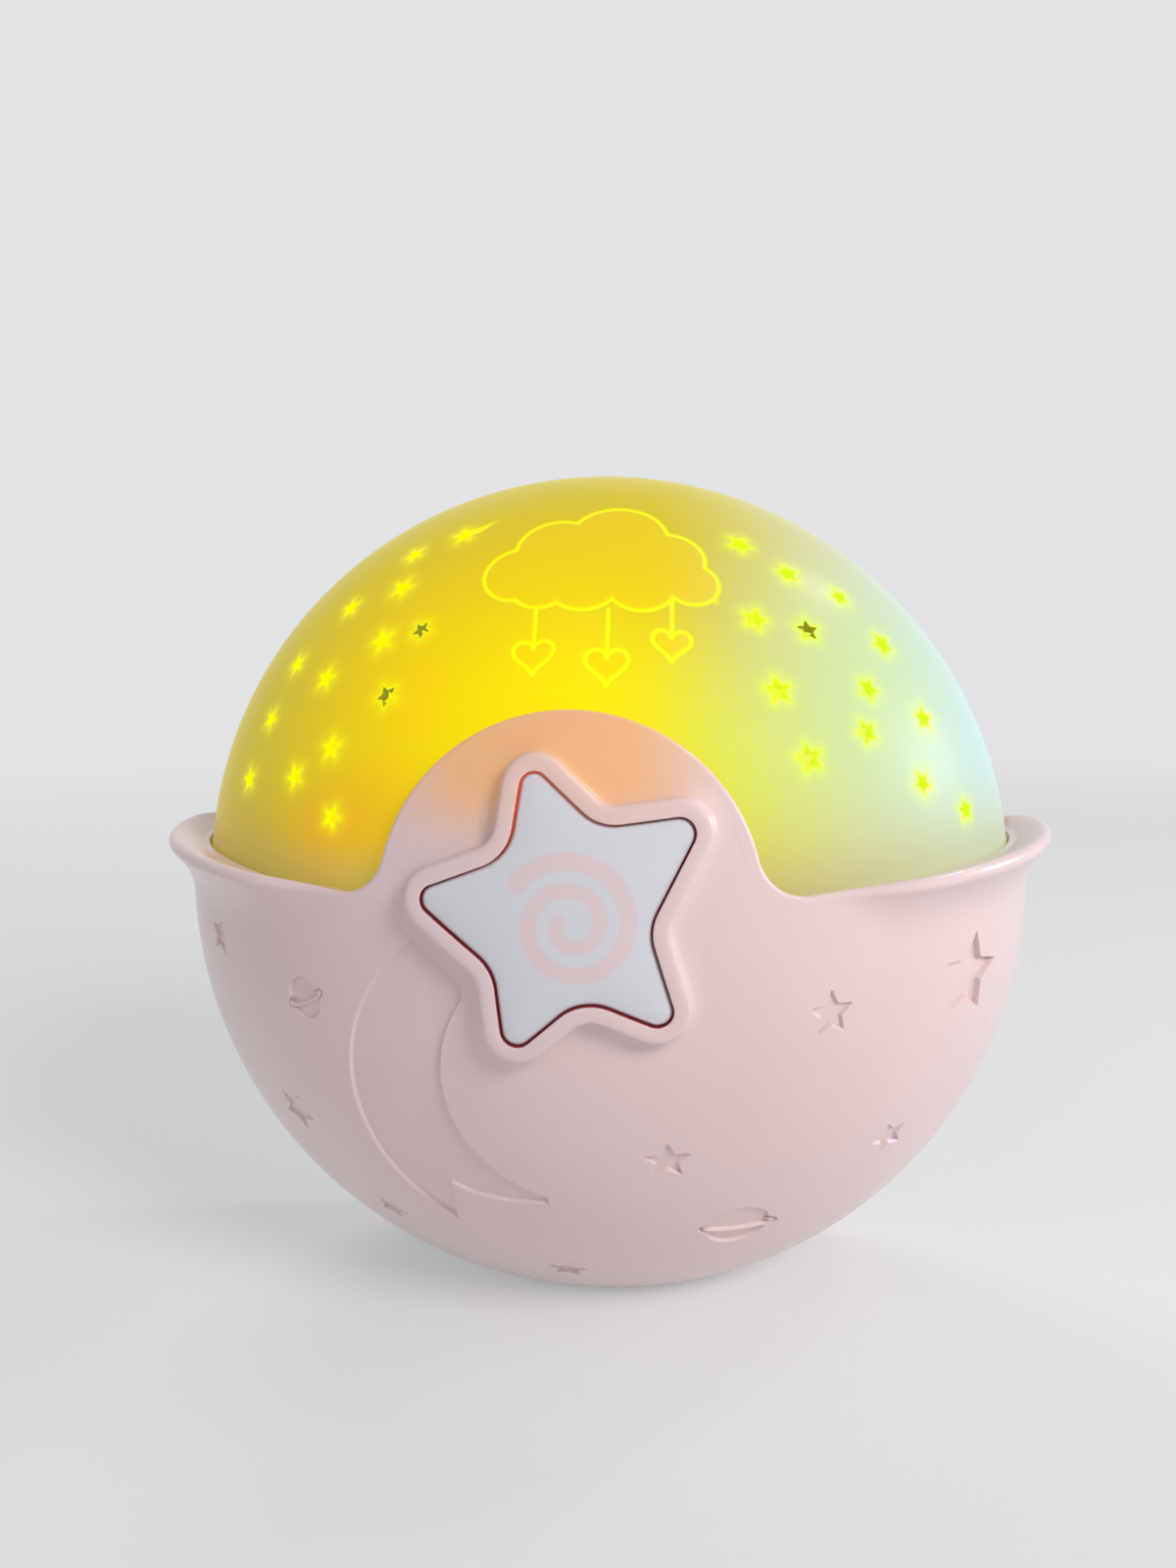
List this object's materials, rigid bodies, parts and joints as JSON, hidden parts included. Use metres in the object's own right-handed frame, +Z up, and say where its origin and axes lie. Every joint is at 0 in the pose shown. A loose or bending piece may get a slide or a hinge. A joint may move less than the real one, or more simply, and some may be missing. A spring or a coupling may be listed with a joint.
{
  "type": "night light projector",
  "caption": "Bedside night light with a translucent star-pierced dome in a pink bowl with a rolled lip, a star push button, slide knobs and a screwed battery door.",
  "frame": {"origin": "on the underside of the foot pad, below the middle of the dome", "axes": "+Z up, +X the viewer's right, -Y towards the viewer"},
  "size_m": [0.2182, 0.099, 0.1968],
  "materials": {
    "shell_pink": "satin moulded plastic",
    "dome_white": "translucent satin, lit yellow from inside",
    "white_plastic": "plain moulded",
    "foot_rubber": "matte",
    "button_grey": "polished",
    "steel": "plated",
    "circuit_green": "solder mask",
    "black_plastic": "plain moulded",
    "switch_tip": "plain moulded",
    "lamp_amber": "clear lens",
    "lamp_green": "clear lens",
    "lamp_blue": "clear lens",
    "capacitor_blue": "sleeved",
    "speaker_paper": "coated paper",
    "magnet": "plain",
    "foam": "foam ring",
    "cell_sleeve": "printed sleeve",
    "lead_sleeve": "smooth"
  },
  "bodies": {
    "housing": {"back_shell": "shell_pink", "front_shell": "shell_pink", "dome_cover": "dome_white", "reflector_plate": "white_plastic", "foot_pad": "foot_rubber", "button_frame": "white_plastic", "button_springs": "steel", "button_board": "circuit_green", "button_switch": "black_plastic", "frame_screws": "steel", "lamp_bracket": "white_plastic", "lamp_board": "white_plastic", "amber_lamp": "lamp_amber", "green_lamp": "lamp_green", "blue_lamp": "lamp_blue", "bracket_screws": "steel", "main_board": "circuit_green", "main_chip": "black_plastic", "capacitor": "capacitor_blue", "mode_switch": "steel", "volume_switch": "steel", "board_screws": "steel", "speaker_frame": "black_plastic", "speaker_cone": "speaker_paper", "speaker_magnet": "magnet", "speaker_gasket": "foam", "speaker_screws": "steel", "battery_left": "cell_sleeve", "battery_middle": "cell_sleeve", "battery_right": "cell_sleeve", "battery_springs": "steel", "upper_contacts": "steel", "lower_contacts": "steel", "housing_screws": "steel", "speaker_leads": "lead_sleeve", "battery_leads": "lead_sleeve", "lamp_leads": "lead_sleeve", "button_leads": "lead_sleeve"},
    "star": {"star_button": "button_grey"},
    "plunger": {"switch_plunger": "switch_tip"},
    "door": {"battery_door": "shell_pink", "door_screws": "steel"},
    "mode": {"mode_knob": "button_grey"},
    "volume": {"volume_knob": "button_grey"}
  },
  "joints": [
    {"name": "star_press", "type": "slide", "parent": "housing", "child": "star", "axis": [0, 1, 0], "range_m": [0, 0.0018], "stiffness_N_per_m": 700, "deforming": ["button_springs"]},
    {"name": "plunger_press", "type": "slide", "parent": "housing", "child": "plunger", "axis": [0, 1, 0], "range_m": [0, 0.00025]},
    {"name": "mode_slide", "type": "slide", "parent": "housing", "child": "mode", "axis": [1, 0, 0], "range_m": [-0.0035, 0.0035]},
    {"name": "volume_slide", "type": "slide", "parent": "housing", "child": "volume", "axis": [1, 0, 0], "range_m": [-0.0035, 0.0035]},
    {"name": "door_lift", "type": "slide", "parent": "housing", "child": "door", "axis": [0, 1, 0], "range_m": [0, 0.02]}
  ],
  "couplings": [
    {"joint": "plunger_press", "follows": "star_press", "ratio": 0.138}
  ]
}
